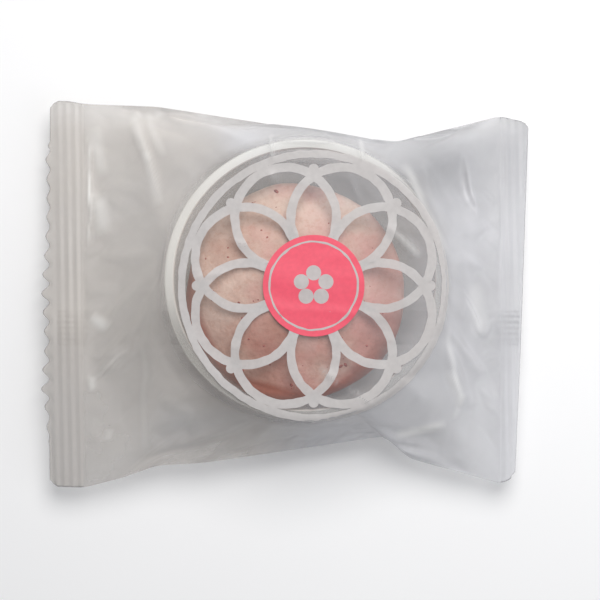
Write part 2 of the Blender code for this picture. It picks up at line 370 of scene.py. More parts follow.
# The marshmallow: a disc of soft white foam cut a little smaller than the cookies, dusted with starch.
# The upper cookie's weight makes its side bulge.
FOAM_CENTRE = Vector((2.2 * MM, 0.9 * MM, LOWER_CENTRE.z + LOWER_THICK - 0.4 * MM))
FOAM_RADIUS = 22.8 * MM
FOAM_THICK = 6.2 * MM
FOAM_DOME = 0.1 * MM
FOAM_BULGE = FOAM_THICK * 0.44


def marshmallow_foam():
    """Soft white foam that lets some light in, with a fine dusting of starch."""
    material, tree, shader = principled(
        "marshmallow foam", Roughness=0.85, Subsurface_Weight=0.3, Subsurface_Scale=1.5 * MM,
        Subsurface_Radius=(1.0, 0.7, 0.6),
    )
    place = own_place(tree)
    patches = clouds(tree, place, 160.0, 3.0)
    tone = shades(tree, patches, (0.35, (0.82, 0.72, 0.69, 1)), (0.62, (0.88, 0.83, 0.80, 1)))
    tree.links.new(tone, shader.inputs["Base Color"])
    bumped(tree, shader, clouds(tree, place, 1500.0, 3.0), 0.05 * MM, 0.5)
    return material


def make_marshmallow():
    """A flat cake whose side is round from top to bottom."""
    profile = cake_profile(FOAM_RADIUS, FOAM_THICK, FOAM_DOME, FOAM_BULGE)
    mesh = turned(profile, FOAM_CENTRE, steps=128)
    roughen(mesh, FOAM_CENTRE, unevenness=0.6 * MM, crumb=0.04 * MM, seed=5)
    finished(mesh, "marshmallow", marshmallow_foam())


make_marshmallow()


# The upper cookie: a domed round of pink berry dough that slumped a little to the near left as it
# was set on the marshmallow. Flecks of dried berry are baked into it, thickest on the shaded side.
UPPER_TOP = 21.9 * MM
UPPER_DOME = 4.6 * MM
UPPER_CORNER = 2.4 * MM
FLECKS = 60
FLECK_POINTS = 12
FLECK_SMALLEST = 0.20 * MM
FLECK_SPREAD = 0.55 * MM


def make_upper_cookie():
    """A domed cake of pink dough, darker on its near side by a painted shade."""
    profile = cake_profile(UPPER_RADIUS, UPPER_TOP - UPPER_CENTRE.z, UPPER_DOME, UPPER_CORNER, across=60)
    mesh = turned(profile, UPPER_CENTRE, steps=192)
    roughen(mesh, UPPER_CENTRE, unevenness=0.7 * MM, crumb=0.13 * MM, seed=9)
    dough = baked(
        "berry dough", dark=(0.33, 0.092, 0.055, 1), light=(0.79, 0.595, 0.495, 1),
        blush=(0.77, 0.41, 0.36, 1), crumb_dark=(0.93, 0.86, 0.83, 1), bump=0.12 * MM, painted_shade=0.09,
    )
    return finished(mesh, "upper_cookie", dough)


def make_flecks(cookie):
    """Small flat scraps of dried berry, sunk into the cookie's top where a ray down meets it."""
    draw = random.Random(11)
    mesh = bmesh.new()
    bpy.context.view_layer.update()
    while len(mesh.verts) < FLECKS * FLECK_POINTS:
        angle = draw.uniform(0, math.tau)
        reach = UPPER_RADIUS * 0.95 * math.sqrt(draw.random())
        shaded = 0.5 - 0.5 * math.cos(angle - math.radians(45))
        size = FLECK_SMALLEST + FLECK_SPREAD * draw.random() ** 3
        turn = draw.uniform(0, math.tau)
        draw.random()  # not used: it keeps the draws that follow in their order
        if draw.random() > 0.25 + 0.75 * shaded:
            continue
        start = UPPER_CENTRE + Vector((reach * math.cos(angle), reach * math.sin(angle), 20 * MM))
        hit, place, normal, _ = cookie.ray_cast(start, Vector((0, 0, -1)))
        if not hit:
            continue
        fleck = bmesh.ops.create_icosphere(mesh, subdivisions=1, radius=size)["verts"]
        squash = Matrix.Diagonal((1.0, draw.uniform(0.5, 0.9), 0.45)).to_4x4()
        stand = normal.to_track_quat("Z", "Y").to_matrix().to_4x4()
        spot = Matrix.Translation(place - normal * size * 0.1)
        bmesh.ops.transform(mesh, matrix=spot @ stand @ Matrix.Rotation(turn, 4, "Z") @ squash, verts=fleck)
    material, tree, shader = principled("dried berry", Roughness=0.55)
    mottle = clouds(tree, own_place(tree), 2500.0, 2.0)
    tone = shades(tree, mottle, (0.38, (0.26, 0.05, 0.04, 1)), (0.62, (0.46, 0.11, 0.08, 1)))
    tree.links.new(tone, shader.inputs["Base Color"])
    finished(mesh, "berry_flecks", material)


upper_cookie = make_upper_cookie()
make_flecks(upper_cookie)


# The film: one sheet of matt clear film, folded into a tube round the tray. It is pulled tight over
# the tray's rim and creases where it runs out to the flat end seals, which hot ribbed jaws pressed.

# Where it runs over the tray's rim, dips inside it and passes under the foot. The slopes are powers
# of the way out from the tray to the edge, for the fall of the top film and the rise of the lower one.
RIM_RADIUS = 31.8 * MM
RIM_WIDTH = 2.2 * MM
RIM_HEIGHT = 22.5 * MM
BASE_RADIUS = 27.5 * MM
BASE_HEIGHT = 0.35 * MM
MOUTH_SAG = 0.5 * MM
MOUTH_LIFT = 0.6 * MM
TOP_SLOPE = 0.92
UNDER_SLOPE = 1.15

# The end seals: where each starts and is cut, the left one's teeth, and the ribs pressed into both.
LEFT_SEAL = -46.8 * MM
LEFT_CUT = -54.9 * MM
RIGHT_SEAL = 49.6 * MM
RIGHT_CUT_FAR = 56.4 * MM
RIGHT_CUT_NEAR = 53.2 * MM
TOOTH_DEPTH = 1.6 * MM
TEETH = 20
TOOTHED = 0.80
CORNER_CUT = 0.9 * MM
RIB_HEIGHT = 0.16 * MM
LEFT_RIB = 1.95 * MM
RIGHT_RIB = 1.85 * MM
RIB_TILT = 0.02
SEAL_GAP = 0.3 * MM
SEAL_HEIGHT = 7.6 * MM
SEAL_WAVE = 0.9 * MM
SEAL_DROOP = 0.5 * MM

# The tube's far and near folds, as (x, y) from the left cut to the right one.
FAR_FOLD = (
    (-57.0 * MM, 43.0 * MM),
    (-54.4 * MM, 44.7 * MM),
    (-51.0 * MM, 44.8 * MM),
    (-46.8 * MM, 44.0 * MM),
    (-30.0 * MM, 43.2 * MM),
    (25.2 * MM, 34.5 * MM),
    (31.0 * MM, 36.4 * MM),
    (49.6 * MM, 41.2 * MM),
    (57.0 * MM, 39.5 * MM),
)
NEAR_FOLD = (
    (-57.0 * MM, -42.4 * MM),
    (-54.6 * MM, -44.8 * MM),
    (-46.8 * MM, -45.0 * MM),
    (-38.0 * MM, -42.7 * MM),
    (-30.0 * MM, -39.8 * MM),
    (-19.0 * MM, -39.1 * MM),
    (23.2 * MM, -32.9 * MM),
    (28.2 * MM, -38.0 * MM),
    (50.2 * MM, -44.2 * MM),
    (54.0 * MM, -41.8 * MM),
)
CORNER_SOFTNESS = 1.6 * MM
FOLD_HEIGHT = 9.4 * MM

# The film's grid: the pouch is a square of cells whose middle, out to the rim's ring, becomes a disc.
POUCH_CELLS = 180
RIM_RING = 0.48
RIM_BAND = 0.875
LEFT_COLUMNS = 36
RIGHT_COLUMNS = 28

# How the film settles: its slack, the gas behind it, and how it bends. The solver works ten times
# larger than life, where its own limits are small enough.
SHEET_CELLS = 120
SLACK = 0.010
FOLD_STIFFNESS = 0.75
PUFF = 1.2
BENDING = 1.5
SOLVER_SCALE = 10.0
SETTLING_FRAMES = 25
RELAXING_ROUNDS = 140
MOUTH_WRINKLE = 0.13 * MM

# How milky the film looks, as a share of cover: off the tray, on the cookie, over the gap beside it
# and underneath. Then what is added over the cookie's far right, taken off at its near side, and
# added in streaks on the right, beside the tray's rim at the far right, and where the film is bent.
FREE_HAZE = 0.40
TOUCHING_HAZE = 0.13
GAP_HAZE = 0.19
UNDER_HAZE = 0.26
FAR_RIGHT_HAZE = 0.08
NEAR_CLEARNESS = 0.06
STREAK_HAZE = 0.05
LIFTED_HAZE = 0.14
BEND_HAZE = 0.20

# Broad creases in the free film, and short sharp ones in the film over the mouth: x and y of both
# ends, half the width and the height of each, in millimetres.
FREE_CREASES = (
    (32.0, 23.0, 43.0, 25.0, 9.0, -3.0),
    (30.0, 27.0, 38.5, 8.0, 3.4, 0.35),
    (36.0, -8.0, 40.5, -26.0, 2.8, 0.6),
    (24.0, -32.5, 37.0, -33.0, 3.0, -0.5),
    (29.0, -36.5, 43.0, -40.5, 4.5, 0.5),
    (-46.0, 42.0, -33.0, 33.0, 5.0, -0.5),
    (-29.5, -2.0, -27.5, -13.0, 2.2, -0.7),
    (-27.5, -13.0, -21.5, -22.5, 2.2, -0.7),
    (-31.0, -33.0, -21.0, -31.5, 3.5, -0.7),
    (-28.0, -23.0, -21.0, -28.0, 2.6, 0.5),
    (-35.0, 40.0, -28.5, 22.0, 2.2, 0.6),
    (-45.0, -20.0, -36.5, -12.0, 1.6, 0.5),
)
MOUTH_CREASES = (
    (6.5, -14.5, 13.5, -21.5, 0.9, 0.22),
    (13.5, -20.0, 21.0, -26.5, 1.0, 0.25),
    (22.5, 15.5, 31.0, 8.0, 1.6, 0.30),
    (-20.0, 13.0, -6.0, 9.5, 0.8, 0.16),
    (-22.0, 3.5, -11.0, 5.0, 0.8, 0.15),
    (-19.0, -6.5, -7.0, -5.0, 0.8, 0.15),
    (14.0, 28.0, 17.5, 20.0, 1.1, 0.24),
    (-4.0, 29.0, -2.0, 22.0, 1.1, 0.24),
)

# Marks where the film is painted whiter, as painted highlights on creases and folds and partly as film that
# creasing has whitened: x and y of both ends and half the width, in millimetres, and how pale each is. They
# stand up a little, by PALE_LIFT where they are quite white.
PALE_LIFT = 0.4 * MM
PALE_MARKS = (
    (-44.6, 38.5, -42.4, 27.5, 2.4, 0.50),
    (-44.0, 24.0, -41.8, 14.0, 3.0, 0.55),
    (-45.6, 37.0, -45.6, 11.0, 0.45, 0.80),
    (-44.8, -5.4, -40.3, -8.2, 2.4, 0.65),
    (-45.2, -19.4, -44.7, -23.0, 1.1, 0.55),
    (-40.8, -31.4, -40.8, -34.2, 1.5, 0.40),
    (-35.8, 42.3, -31.0, 29.6, 2.0, 0.45),
    (-32.0, 32.8, -28.4, 19.5, 2.0, 0.45),
    (-32.2, 42.0, -27.3, 31.0, 1.5, 0.35),
    (-32.2, -11.0, -32.6, -38.0, 1.2, 0.16),
    (-44.9, -20.5, -36.8, -12.6, 0.6, 0.40),
    (43.2, 3.0, 44.6, -10.0, 3.2, 0.35),
    (37.5, -17.0, 40.0, -26.0, 2.2, 0.35),
    (36.4, -8.0, 40.3, -24.2, 1.0, 0.40),
    (40.5, -22.5, 38.7, -29.0, 1.2, 0.30),
    (36.5, -29.6, 25.0, -32.4, 1.8, 0.80),
    (-1.9, 34.4, 12.0, 33.9, 1.0, 0.35),
    (-3.2, 36.5, -2.6, 28.0, 0.8, 0.40),
    (17.1, 36.0, 16.4, 28.0, 0.8, 0.40),
    (26.0, 29.5, 36.0, 8.0, 1.5, 0.50),
    (22.5, 15.2, 31.0, 8.2, 1.6, 0.40),
    (7.2, -15.9, 12.5, -20.5, 0.6, 0.45),
    (14.1, -21.2, 20.1, -25.8, 0.6, 0.45),
    (1.0, -9.5, 7.0, -12.8, 2.6, 0.22),
)

# Painted shade and light: the film is darker along the far fold, and in patches darker or lighter: x and y
# of the middle and the reach, in millimetres, and the change of tone.
FAR_FOLD_GREY = 0.30
TONE_PATCHES = (
    (32.0, 30.0, 9.0, -0.28),
    (8.0, 36.5, 9.0, -0.28),
    (1.0, 36.0, 6.0, -0.08),
    (-32.0, 29.0, 17.0, 0.27),
    (-36.0, 42.0, 6.0, -0.10),
    (-40.0, 18.0, 5.0, 0.10),
    (-32.5, 8.0, 10.0, 0.15),
    (-48.0, -8.0, 8.0, 0.10),
    (-42.0, -8.0, 15.0, 0.14),
    (-36.0, -22.0, 6.0, 0.08),
    (-51.0, -6.0, 7.0, 0.10),
    (39.0, -9.0, 8.0, 0.14),
    (35.0, -34.0, 8.0, -0.20),
    (-27.0, -33.5, 4.5, -0.10),
    (-16.0, -37.0, 8.0, -0.20),
    (4.0, -34.0, 7.0, -0.06),
    (-21.0, -26.0, 3.0, 0.08),
    (45.0, 13.0, 9.0, 0.24),
    (43.0, -5.0, 8.0, 0.08),
    (20.0, 31.0, 4.0, -0.10),
    (44.0, -24.0, 6.0, 0.08),
    (53.0, 37.0, 7.0, -0.08),
)


def smooth(t):
    """A rise from 0 to 1 that starts and ends gently."""
    t = np.clip(t, 0.0, 1.0)
    return t * t * (3 - 2 * t)


def lerp(a, b, t):
    """The value a share t of the way from a to b."""
    return a + (b - a) * t


def drift(x, y, size, seed):
    """Smooth random values between about -1 and 1 that change over a stretch of one size."""
    table = np.random.default_rng(seed).uniform(-1.0, 1.0, (64, 64))
    column, row = x / size + 32.0, y / size + 32.0
    i, j = np.floor(column).astype(int), np.floor(row).astype(int)
    s, t = smooth(column - i), smooth(row - j)
    i, j = i % 63, j % 63
    low = lerp(table[j, i], table[j, i + 1], s)
    return lerp(low, lerp(table[j + 1, i], table[j + 1, i + 1], s), t)


def fold_y(fold, x):
    """Where a fold of the tube lies at x, with its corners rounded off."""
    xs, ys = zip(*fold)
    near_x = x[..., None] + CORNER_SOFTNESS * np.linspace(-1, 1, 9)
    return np.interp(near_x, xs, ys).mean(axis=-1)


def across(x, v):
    """The place from the near fold, v = -1, to the far fold, v = 1, at x."""
    return lerp(fold_y(NEAR_FOLD, x), fold_y(FAR_FOLD, x), (v + 1) / 2)


def seal_z(v):
    """Height of the end seals, which wave a little from fold to fold."""
    return SEAL_HEIGHT + SEAL_WAVE * np.cos(2.6 * v + 0.7) * (1 - 0.4 * v * v)


def border_angle(u, v):
    """Angle round the tray for points of the unit square's border, 45 degrees at a corner."""
    with np.errstate(divide="ignore", invalid="ignore"):
        side = math.pi / 4 * v / u + np.where(u < 0, math.pi, 0.0)
        end = math.pi / 2 - math.pi / 4 * u / v + np.where(v < 0, math.pi, 0.0)
    return np.where(np.abs(u) >= np.abs(v), side, end)


def mouth_z(r):
    """Height of the top film over the tray at a distance from its axis."""
    inner = RIM_RADIUS - RIM_WIDTH
    share = np.clip(r / inner, 0.0, 1.0)
    return RIM_HEIGHT - MOUTH_SAG * smooth((1 - share) * 6) + MOUTH_LIFT * smooth(1 - share)


def base_z(r):
    """Height of the film under the tray: the same all over."""
    return np.full_like(r, BASE_HEIGHT)


def pouch(u, v, radius, disc_z, slope):
    """Film between the tray and the pouch's edge, as arrays of x, y and z."""
    ring = np.maximum(np.abs(u), np.abs(v))
    edge_u = np.where(ring > 0, u / np.maximum(ring, 1e-9), 1.0)
    edge_v = v / np.maximum(ring, 1e-9)
    angle = border_angle(edge_u, edge_v)
    share = np.minimum(ring / RIM_RING, 1.0)
    inner = (radius - RIM_WIDTH) * np.minimum(share / RIM_BAND, 1.0)
    r = inner + RIM_WIDTH * np.clip((share - RIM_BAND) / (1 - RIM_BAND), 0.0, 1.0)
    away = np.clip((ring - RIM_RING) / (1 - RIM_RING), 0.0, 1.0)
    edge_x = lerp(LEFT_SEAL, RIGHT_SEAL, (edge_u + 1) / 2)
    edge_y = across(edge_x, edge_v)
    edge_height = lerp(seal_z(edge_v), FOLD_HEIGHT, smooth(1 - edge_u**2))
    x = lerp(TRAY_CENTRE.x + r * np.cos(angle), edge_x, away)
    y = lerp(TRAY_CENTRE.y + r * np.sin(angle), edge_y, away)
    z = lerp(disc_z(r), edge_height, away**slope)
    return np.stack([x, y, z], axis=-1)


def end_seal(u, v, left):
    """A crimped end seal: u runs on past the pouch's edge, one unit to the cut."""
    share = np.abs(u) - 1
    seal = LEFT_SEAL if left else RIGHT_SEAL
    cut = LEFT_CUT if left else lerp(RIGHT_CUT_NEAR, RIGHT_CUT_FAR, (v + 1) / 2)
    x = lerp(seal, cut, share)
    y = across(x, v)
    rib = LEFT_RIB if left else RIGHT_RIB
    wave = np.sin(math.tau * (x + RIB_TILT * y - seal) / rib)
    ribs = wave * smooth(share * 8) * smooth((1.05 - share) * 8)
    ribs = ribs * (0.80 + 0.40 * drift(x * 1.5, y * 0.5, 5 * MM, 12))
    if left:
        ribs = ribs * (1.15 - 0.45 * np.clip(y / (20 * MM), -1, 1))
    z = seal_z(v) - SEAL_DROOP * share**2 + RIB_HEIGHT / 2 * ribs
    if left:
        tooth = 0.5 + 0.5 * np.cos(math.pi * TEETH * v)
        size = np.clip(0.82 + 0.5 * drift(v * MM, 0 * v, 0.13 * MM, 8), 0.3, 1.2)
        held = smooth((TOOTHED - np.abs(v)) * 25) * size
        x = x - TOOTH_DEPTH * tooth * held * smooth((share - 0.80) / 0.20)
    corner = smooth((np.abs(v) - 0.965) / 0.035) ** 2
    x = x + (CORNER_CUT if left else -CORNER_CUT) * corner * smooth((share - 0.7) / 0.3)
    return np.stack([x, y, z], axis=-1)


def normals_of(points):
    """Unit normals of a grid of points, pointing up."""
    along, up = np.gradient(points, axis=1), np.gradient(points, axis=0)
    normal = np.cross(along, up)
    return normal / np.maximum(np.linalg.norm(normal, axis=-1, keepdims=True), 1e-12)


def creased(x, y, creases):
    """A soft ridge along each of a table's lines, which wander a little, as high as its last number."""
    x = x + 0.7 * MM * drift(x, y, 6 * MM, 31)
    y = y + 0.7 * MM * drift(x, y, 6 * MM, 32)
    height = np.zeros_like(x)
    for *line, rise in creases:
        x0, y0, x1, y1, half = (number * MM for number in line)
        run = (x1 - x0, y1 - y0)
        share = np.clip(((x - x0) * run[0] + (y - y0) * run[1]) / (run[0] ** 2 + run[1] ** 2), 0, 1)
        off = np.hypot(x - x0 - share * run[0], y - y0 - share * run[1])
        fade = 1 - (2 * share - 1) ** 4
        height += rise * fade * np.clip(1 - (off / half) ** 2, 0, 1) ** 2
    return height


def grid_mesh(points):
    """A bmesh grid placed by an array of rows and columns of points, and each vertex's row and column."""
    rows, columns = points.shape[0] - 1, points.shape[1] - 1
    mesh = bmesh.new()
    bmesh.ops.create_grid(mesh, x_segments=columns, y_segments=rows, size=1.0)
    spots = []
    for vertex in mesh.verts:
        spots.append((round((vertex.co.y + 1) / 2 * rows), round((vertex.co.x + 1) / 2 * columns)))
        vertex.co = points[spots[-1]]
    return mesh, spots


# What the film settles on, as radius and height in millimetres: the cookie's top in the tray's mouth,
# the tray's rim, its wall and its base.
CORE = (
    (0.0, 21.8), (10.0, 21.7), (16.0, 21.3), (21.0, 20.4), (25.0, 19.5), (28.6, 20.5), (29.4, 21.7),
    (30.0, 22.0), (30.9, 22.0), (31.4, 21.9), (31.6, 21.2), (29.4, 12.0), (26.7, 1.0), (0.0, 1.0),
)


def add_core():
    """The solid that stands for the tray and the cookie while the film settles."""
    scaled = [(r * MM * SOLVER_SCALE, z * MM * SOLVER_SCALE) for r, z in CORE]
    core = added(turned(scaled, TRAY_CENTRE * SOLVER_SCALE, steps=96), "core")
    core.modifiers.new("Collision", "COLLISION")
    core.collision.thickness_outer = 0.002
    core.collision.cloth_friction = 5.0
    return core


def cloth_settings(sheet):
    """Thin film with a little more length than its span, and a little gas behind it."""
    cloth = sheet.modifiers.new("Cloth", "CLOTH")
    film = cloth.settings
    film.quality = 6
    film.mass = 0.3
    film.tension_stiffness = film.compression_stiffness = 15.0
    film.shear_stiffness = 7.5
    film.bending_model = "ANGULAR"
    film.bending_stiffness = BENDING
    film.tension_damping = film.compression_damping = film.shear_damping = 5.0
    film.vertex_group_mass = "held"
    film.shrink_min = film.shrink_max = -SLACK
    film.effector_weights.gravity = 0.05
    film.use_pressure = True
    film.uniform_pressure_force = PUFF
    cloth.collision_settings.collision_quality = 4
    cloth.collision_settings.distance_min = 0.002
    cloth.point_cache.frame_end = SETTLING_FRAMES


def settled(side):
    """How far each point of the slack film moves as it settles on the tray, as a grid of vectors."""
    share = np.linspace(-1, 1, SHEET_CELLS + 1)
    u, v = np.meshgrid(share, share)
    start = pouch_of(side, u, v)
    uneven = 0.15 * MM * drift(start[..., 0], start[..., 1], 7 * MM, 21 + side)
    start_uneven = start + normals_of(start) * uneven[..., None]
    mesh, spots = grid_mesh(start_uneven * SOLVER_SCALE)
    if side < 0:
        bmesh.ops.reverse_faces(mesh, faces=mesh.faces)
    sheet = added(mesh, "sheet")
    held = sheet.vertex_groups.new(name="held")
    ring = np.maximum(np.abs(u), np.abs(v))
    fixed = (ring > 0.999) | ((side < 0) & (ring <= RIM_RING))
    held.add([i for i, spot in enumerate(spots) if fixed[spot]], 1.0, "REPLACE")
    core = add_core()
    cloth_settings(sheet)
    for step in range(1, SETTLING_FRAMES + 1):
        bpy.context.scene.frame_set(step)
    result = sheet.evaluated_get(bpy.context.evaluated_depsgraph_get()).to_mesh()
    moved = np.zeros_like(start)
    for spot, vertex in zip(spots, result.vertices):
        moved[spot] = np.array(vertex.co) / SOLVER_SCALE - start[spot]
    for helper in (sheet, core):
        bpy.data.objects.remove(helper)
    bpy.context.scene.frame_set(1)
    for axis in (0, 1):
        before, after = np.roll(moved, 1, axis), np.roll(moved, -1, axis)
        moved = np.where(fixed[..., None], moved, (before + 2 * moved + after) / 4)
    return moved


def finer(grid, cells):
    """The same smooth grid with more points, by a cubic curve along each direction."""
    for axis in (0, 1):
        grid = np.moveaxis(grid, axis, 0)
        last = len(grid) - 1
        at = np.linspace(0, last, cells + 1)
        low = np.minimum(np.floor(at).astype(int), last - 1)
        t = (at - low)[:, None, None]
        a, b, c, d = (grid[np.clip(low + step, 0, last)] for step in (-1, 0, 1, 2))
        grid = b + t / 2 * (c - a + t * (2 * a - 5 * b + 4 * c - d + t * (3 * (b - c) + d - a)))
        grid = np.moveaxis(grid, 0, axis)
    return grid


def relaxed(points, weight, rounds):
    """Moves each point towards its neighbours' middle, as far as its weight lets it."""
    for _ in range(rounds):
        near = sum(np.roll(points, step, axis) for axis in (0, 1) for step in (-1, 1)) / 4
        points = points + weight[..., None] * (near - points) / 2
    return points


def pouch_of(side, u, v):
    """The film between the seals before it settles: over the tray, side 1, or under it, side -1."""
    if side > 0:
        return pouch(u, v, RIM_RADIUS, mouth_z, TOP_SLOPE)
    return pouch(u, v, BASE_RADIUS, base_z, UNDER_SLOPE)


def film_points(u, v, side):
    """Points of the top film, side 1, or the bottom film, side -1, with how pale each is and its tone."""
    points = pouch_of(side, np.clip(u, -1.0, 1.0), v)
    for left, beyond in ((True, u < -1), (False, u > 1)):
        points[beyond] = end_seal(u[beyond], v[beyond], left)
    points[:, LEFT_COLUMNS:LEFT_COLUMNS + POUCH_CELLS + 1] += finer(settled(side), POUCH_CELLS)
    for fold, way in ((FAR_FOLD, 1), (NEAR_FOLD, -1)):
        bulge = np.maximum(way * (points[..., 1] - fold_y(fold, points[..., 0])), 0)
        points[..., 1] -= way * FOLD_STIFFNESS * bulge
    ring = np.maximum(np.abs(u), np.abs(v))
    corner_fold = smooth((0.18 - np.abs(np.abs(u) - np.abs(v))) / 0.12)
    weight = corner_fold * smooth((ring - 0.56) / 0.10) * smooth((1 - ring) / 0.06)
    points = relaxed(points, weight, RELAXING_ROUNDS)
    pale, tone = np.zeros_like(u), np.ones_like(u)
    if side > 0:
        mouth = smooth((RIM_RING * RIM_BAND - ring) * 10)
        x, y = points[..., 0], points[..., 1]
        bent = y + 0.15 * x + 1.5 * MM * drift(x, y, 9 * MM, 9)
        wrinkle = 1 - 2 * np.abs(drift(x * 0.3, bent, 4.0 * MM, 6))
        broad = drift(x, y, 11 * MM, 10)
        wrinkles = MOUTH_WRINKLE * (wrinkle + 1.5 * broad)
        points[..., 2] += mouth * (wrinkles + MM * creased(x, y, MOUTH_CREASES))
        free = smooth((ring - RIM_RING) * 5) * smooth((1 - ring) * 9)
        points[..., 2] += free * MM * creased(x, y, FREE_CREASES)
        # Painted highlights, partly creasing's whitening, along the pale marks.
        pale = np.clip(creased(x, y, PALE_MARKS), 0, 1)
        points[..., 2] += PALE_LIFT * pale
        # Painted shade and light in patches, and a painted shade along the far fold.
        for *patch, change in TONE_PATCHES:
            middle_x, middle_y, size = (number * MM for number in patch)
            tone += change * np.exp(-((x - middle_x) ** 2 + (y - middle_y) ** 2) / size**2)
        tone -= FAR_FOLD_GREY * smooth((v - 0.86) / 0.14)
    else:
        points[..., 2] = np.maximum(points[..., 2], BASE_HEIGHT)
    apart = smooth((1 - np.abs(v)) * 12) * smooth((2 - np.abs(u)) * 6)
    flat = smooth((ring - RIM_RING) * 4)
    points[..., 2] += side * SEAL_GAP / 2 * apart * flat
    return points, pale, tone


def film_milk(points, u, side):
    """How much of what lies behind the film each of its points hides.

    Matt film scatters light, so it looks clear where it touches the cookie and milky further off,
    and milkier where it is bent, or slants and is seen through more of its thickness.
    """
    normal = normals_of(points)
    bend = np.zeros_like(u)
    for axis in (0, 1):
        slope = np.gradient(normal, axis=axis)
        step = np.gradient(points, axis=axis)
        bend += np.linalg.norm(slope, axis=-1) / np.maximum(np.linalg.norm(step, axis=-1), 0.1 * MM)
    milk = np.full_like(u, UNDER_HAZE)
    if side > 0:
        x, y = points[..., 0], points[..., 1]
        off_cookie = np.hypot(x - UPPER_CENTRE.x, y - UPPER_CENTRE.y)
        off_tray = np.hypot(x - TRAY_CENTRE.x, y - TRAY_CENTRE.y)
        over = lerp(GAP_HAZE, TOUCHING_HAZE, smooth((UPPER_RADIUS - off_cookie) / (4 * MM)))
        far_right = smooth((x + y * 0.4) / UPPER_RADIUS)
        near_side = smooth((-y - 14 * MM) / (10 * MM))
        over = over + FAR_RIGHT_HAZE * far_right - NEAR_CLEARNESS * near_side
        milk = lerp(FREE_HAZE, over, smooth((RIM_RADIUS + 2.5 * MM - off_tray) / (3 * MM)))
        streaks = drift(x, y * 0.15, 2.5 * MM, 17)
        milk += STREAK_HAZE * streaks * smooth((x - 35 * MM) / (6 * MM))
        outside = smooth((off_tray - RIM_RADIUS) / (2 * MM))
        milk += LIFTED_HAZE * outside * smooth((y + 0.4 * x - 20 * MM) / (14 * MM))
    milk += BEND_HAZE * np.where(np.abs(u) > 1, 0.4, np.clip((bend * MM - 0.15) * 0.8, 0, 1))
    slant = np.clip(np.abs(normal[..., 2]), 0.60, 1.0)
    return 1 - (1 - milk) ** (1 / slant)


def make_skin(side):
    """One side of the film as a grid bmesh, with its milk, pale and tone values in vertex layers."""
    columns = LEFT_COLUMNS + POUCH_CELLS + RIGHT_COLUMNS
    u = (np.arange(columns + 1) - LEFT_COLUMNS) / POUCH_CELLS * 2 - 1
    u = np.where(u < -1, -1 + (u + 1) * POUCH_CELLS / 2 / LEFT_COLUMNS, u)
    u = np.where(u > 1, 1 + (u - 1) * POUCH_CELLS / 2 / RIGHT_COLUMNS, u)
    v = np.arange(POUCH_CELLS + 1) / POUCH_CELLS * 2 - 1
    u, v = np.meshgrid(u, v)
    points, pale, tone = film_points(u, v, side)
    milk = film_milk(points, u, side)
    mesh, spots = grid_mesh(points)
    for name, values in (("milk", milk), ("pale", pale), ("tone", tone)):
        layer = mesh.verts.layers.float.new(name)
        for vertex, spot in zip(mesh.verts, spots):
            vertex[layer] = values[spot]
    if side < 0:
        bmesh.ops.reverse_faces(mesh, faces=mesh.faces)
    return mesh


# The film's colours: warmer and darker on the left, the darkness a painted shade, cooler on the right, and
# whiter along the pale marks, which are painted highlights and partly creasing's whitening. QUARTER is x
# times y near a corner of the pack.
WARM_GREY = (0.58, 0.54, 0.50, 1)
COOL_GREY = (0.62, 0.62, 0.645, 1)
CREASE_AND_HIGHLIGHT_WHITE = (0.86, 0.855, 0.83, 1)
QUARTER = 1800 * MM**2


def own_value(tree, name):
    """The value that the mesh holds for each of its points under a name."""
    return add_node(tree, "ShaderNodeAttribute", {"attribute_name": name}).outputs["Fac"]


def matt_film():
    """Hazy film whose cover is the mesh's own milkiness with some cloud.

    Its far left and near right quarters are lighter than the other two, as in the photograph.
    """
    material, tree, shader = principled("matt film", Roughness=0.38, IOR=1.65)
    place = own_place(tree)
    axes = add_node(tree, "ShaderNodeSeparateXYZ", Vector=place).outputs
    tint = worked(tree, "MULTIPLY_ADD", axes["X"], 5.0, clouds(tree, place, 26.0, 2.0))
    plain = shades(tree, tint, (0.35, WARM_GREY), (0.65, COOL_GREY))
    # Painted light and shade: the far left and near right quarters are made lighter, the far right and near
    # left darker.
    quarter = worked(tree, "MULTIPLY", axes["X"], axes["Y"])
    level = ranged(tree, quarter, -QUARTER, QUARTER, 1.06, 0.84)
    toned = worked(tree, "MULTIPLY", level, own_value(tree, "tone"))
    grey = add_node(tree, "ShaderNodeVectorMath", {"operation": "SCALE"}, _0=plain, Scale=toned).outputs[0]
    # Painted highlights along creases and folds, with some whitening by creasing, make the film whiter and
    # less clear.
    pale = own_value(tree, "pale")
    tree.links.new(mixed(tree, pale, grey, CREASE_AND_HIGHLIGHT_WHITE), shader.inputs["Base Color"])
    uneven = ranged(tree, clouds(tree, place, 55.0, 4.0), 0.3, 0.7, 0.86, 1.14)
    haze = worked(tree, "MULTIPLY", own_value(tree, "milk"), uneven)
    tree.links.new(worked(tree, "MULTIPLY_ADD", pale, 0.4, haze), shader.inputs["Alpha"])
    bumped(tree, shader, clouds(tree, place, 380.0, 3.0), 0.10 * MM, 0.5)
    return material


def pour_in(mesh, other):
    """Adds another bmesh's shapes to a bmesh and uses the other one up."""
    data = bpy.data.meshes.new("poured in")
    other.to_mesh(data)
    other.free()
    mesh.from_mesh(data)
    bpy.data.meshes.remove(data)


def make_film(material):
    """Both sides of the film as one mesh, joined along the folds and the cuts."""
    mesh = make_skin(1)
    pour_in(mesh, make_skin(-1))
    border = [vertex for vertex in mesh.verts if vertex.is_boundary]
    bmesh.ops.remove_doubles(mesh, verts=border, dist=1e-5)
    return finished(mesh, "film_pack", material)


film = make_film(matt_film())


